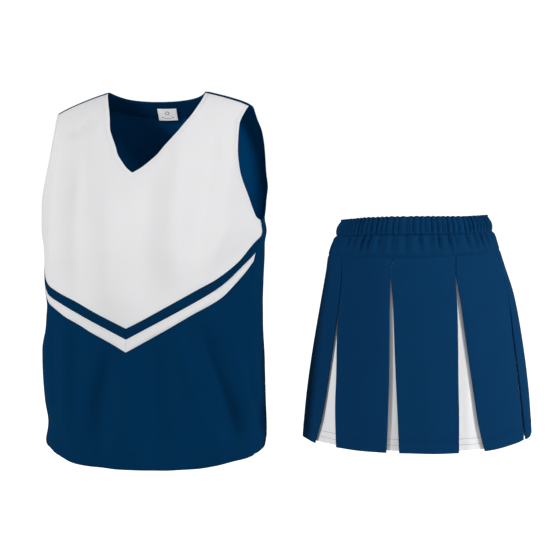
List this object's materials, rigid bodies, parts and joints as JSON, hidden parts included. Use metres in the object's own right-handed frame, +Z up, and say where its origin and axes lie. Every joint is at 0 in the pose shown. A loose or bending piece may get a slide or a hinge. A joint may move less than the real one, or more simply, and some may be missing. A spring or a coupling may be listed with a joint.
{
  "type": "cheer uniform",
  "caption": "Two-piece cheer uniform: sleeveless V-neck shell top with a chevron of contrast strips, and an elastic-waist pleated skirt with contrast insets behind the pleats.",
  "frame": {"origin": "middle of the shell's shoulders at the height of its high shoulder points, where a hanger or wearer holds it", "axes": "+Z up, fronts of both garments towards -Y (the shell turned 16.5 degrees towards -X), +X from the shell to the skirt"},
  "size_m": [0.7319, 0.2502, 0.5409],
  "materials": {
    "white_knit": "matte double-knit polyester, faint ribs",
    "navy_knit": "matte double-knit polyester, faint ribs",
    "white_braid": "flat woven braid strip",
    "navy_braid": "flat knit strip",
    "pleat_navy": "pressed double-knit polyester",
    "pleat_white": "pressed double-knit polyester",
    "elastic_rubber": "braided elastic",
    "seam_tape": "thin woven tape",
    "label_satin": "printed satin label with a plain mark"
  },
  "bodies": {
    "shell": {"front_yoke": "white_knit", "front_body": "navy_knit", "back_panel": "navy_knit", "chevron_navy_left": "navy_braid", "chevron_navy_right": "navy_braid", "chevron_white_left": "white_braid", "chevron_white_right": "white_braid", "neck_facing_front": "navy_knit", "neck_facing_back": "navy_knit", "shoulder_tape_left": "seam_tape", "shoulder_tape_right": "seam_tape", "neck_label": "label_satin"},
    "skirt": {"waistband_casing": "pleat_navy", "waist_elastic": "elastic_rubber", "hip_yoke": "pleat_navy"},
    "pleat_front_centre": {"pleat_front_centre": "pleat_navy"},
    "pleat_front_right": {"pleat_front_right": "pleat_navy"},
    "pleat_side_right": {"pleat_side_right": "pleat_navy"},
    "pleat_back_right": {"pleat_back_right": "pleat_navy"},
    "pleat_back_centre": {"pleat_back_centre": "pleat_navy"},
    "pleat_back_left": {"pleat_back_left": "pleat_navy"},
    "pleat_side_left": {"pleat_side_left": "pleat_navy"},
    "pleat_front_left": {"pleat_front_left": "pleat_navy"},
    "inset_front_centre_to_front_right": {"inset_front_centre_to_front_right": "pleat_white"},
    "inset_front_right_to_side_right": {"inset_front_right_to_side_right": "pleat_white"},
    "inset_side_right_to_back_right": {"inset_side_right_to_back_right": "pleat_white"},
    "inset_back_right_to_back_centre": {"inset_back_right_to_back_centre": "pleat_white"},
    "inset_back_centre_to_back_left": {"inset_back_centre_to_back_left": "pleat_white"},
    "inset_back_left_to_side_left": {"inset_back_left_to_side_left": "pleat_white"},
    "inset_side_left_to_front_left": {"inset_side_left_to_front_left": "pleat_white"},
    "inset_front_left_to_front_centre": {"inset_front_left_to_front_centre": "pleat_white"}
  },
  "joints": [
    {"name": "skirt_lift", "type": "slide", "parent": "shell", "child": "skirt", "axis": [0, 0, 1], "range_m": [0, 0.25]},
    {"name": "pleat_flare", "type": "hinge", "parent": "skirt", "child": "pleat_front_centre", "pos_m": [0.40006, -0.09182, -0.2395], "axis": [-0.9995, -0.0315, 0], "range_deg": [0, 10]},
    {"name": "flare_pleat_front_right", "type": "hinge", "parent": "skirt", "child": "pleat_front_right", "pos_m": [0.48682, -0.06373, -0.24058], "axis": [-0.7988, -0.6016, 0], "range_deg": [0, 10]},
    {"name": "flare_pleat_side_right", "type": "hinge", "parent": "skirt", "child": "pleat_side_right", "pos_m": [0.52267, 0.00768, -0.24329], "axis": [0.1145, -0.9934, 0], "range_deg": [0, 10]},
    {"name": "flare_pleat_back_right", "type": "hinge", "parent": "skirt", "child": "pleat_back_right", "pos_m": [0.47228, 0.07444, -0.2458], "axis": [0.8787, -0.4774, 0], "range_deg": [0, 10]},
    {"name": "flare_pleat_back_centre", "type": "hinge", "parent": "skirt", "child": "pleat_back_centre", "pos_m": [0.3866, 0.09316, -0.24649], "axis": [0.999, 0.0441, 0], "range_deg": [0, 10]},
    {"name": "flare_pleat_back_left", "type": "hinge", "parent": "skirt", "child": "pleat_back_left", "pos_m": [0.30518, 0.06729, -0.24553], "axis": [0.823, 0.568, 0], "range_deg": [0, 10]},
    {"name": "flare_pleat_side_left", "type": "hinge", "parent": "skirt", "child": "pleat_side_left", "pos_m": [0.26608, -0.00323, -0.24288], "axis": [-0.0484, 0.9988, 0], "range_deg": [0, 10]},
    {"name": "flare_pleat_front_left", "type": "hinge", "parent": "skirt", "child": "pleat_front_left", "pos_m": [0.31198, -0.07029, -0.24033], "axis": [-0.8536, 0.521, 0], "range_deg": [0, 10]},
    {"name": "flare_inset_front_centre_to_front_right", "type": "hinge", "parent": "skirt", "child": "inset_front_centre_to_front_right", "pos_m": [0.44521, -0.0803, -0.2402], "axis": [-0.9521, -0.3056, 0], "range_deg": [0, 8]},
    {"name": "flare_inset_front_right_to_side_right", "type": "hinge", "parent": "skirt", "child": "inset_front_right_to_side_right", "pos_m": [0.51034, -0.03198, -0.24212], "axis": [-0.4795, -0.8776, 0], "range_deg": [0, 8]},
    {"name": "flare_inset_side_right_to_back_right", "type": "hinge", "parent": "skirt", "child": "inset_side_right_to_back_right", "pos_m": [0.50208, 0.04539, -0.2452], "axis": [0.6402, -0.7682, 0], "range_deg": [0, 8]},
    {"name": "flare_inset_back_right_to_back_centre", "type": "hinge", "parent": "skirt", "child": "inset_back_right_to_back_centre", "pos_m": [0.42725, 0.08628, -0.24678], "axis": [0.9818, -0.1897, 0], "range_deg": [0, 8]},
    {"name": "flare_inset_back_centre_to_back_left", "type": "hinge", "parent": "skirt", "child": "inset_back_centre_to_back_left", "pos_m": [0.34714, 0.08273, -0.24665], "axis": [0.9601, 0.2797, 0], "range_deg": [0, 8]},
    {"name": "flare_inset_back_left_to_side_left", "type": "hinge", "parent": "skirt", "child": "inset_back_left_to_side_left", "pos_m": [0.28049, 0.03644, -0.24485], "axis": [0.5343, 0.8453, 0], "range_deg": [0, 8]},
    {"name": "flare_inset_side_left_to_front_left", "type": "hinge", "parent": "skirt", "child": "inset_side_left_to_front_left", "pos_m": [0.28507, -0.04168, -0.24173], "axis": [-0.6016, 0.7988, 0], "range_deg": [0, 8]},
    {"name": "flare_inset_front_left_to_front_centre", "type": "hinge", "parent": "skirt", "child": "inset_front_left_to_front_centre", "pos_m": [0.35391, -0.08315, -0.24009], "axis": [-0.9705, 0.2409, 0], "range_deg": [0, 8]}
  ],
  "couplings": [
    {"joint": "flare_pleat_front_right", "follows": "pleat_flare", "ratio": 1},
    {"joint": "flare_pleat_side_right", "follows": "pleat_flare", "ratio": 1},
    {"joint": "flare_pleat_back_right", "follows": "pleat_flare", "ratio": 1},
    {"joint": "flare_pleat_back_centre", "follows": "pleat_flare", "ratio": 1},
    {"joint": "flare_pleat_back_left", "follows": "pleat_flare", "ratio": 1},
    {"joint": "flare_pleat_side_left", "follows": "pleat_flare", "ratio": 1},
    {"joint": "flare_pleat_front_left", "follows": "pleat_flare", "ratio": 1},
    {"joint": "flare_inset_front_centre_to_front_right", "follows": "pleat_flare", "ratio": 0.8},
    {"joint": "flare_inset_front_right_to_side_right", "follows": "pleat_flare", "ratio": 0.8},
    {"joint": "flare_inset_side_right_to_back_right", "follows": "pleat_flare", "ratio": 0.8},
    {"joint": "flare_inset_back_right_to_back_centre", "follows": "pleat_flare", "ratio": 0.8},
    {"joint": "flare_inset_back_centre_to_back_left", "follows": "pleat_flare", "ratio": 0.8},
    {"joint": "flare_inset_back_left_to_side_left", "follows": "pleat_flare", "ratio": 0.8},
    {"joint": "flare_inset_side_left_to_front_left", "follows": "pleat_flare", "ratio": 0.8},
    {"joint": "flare_inset_front_left_to_front_centre", "follows": "pleat_flare", "ratio": 0.8}
  ]
}
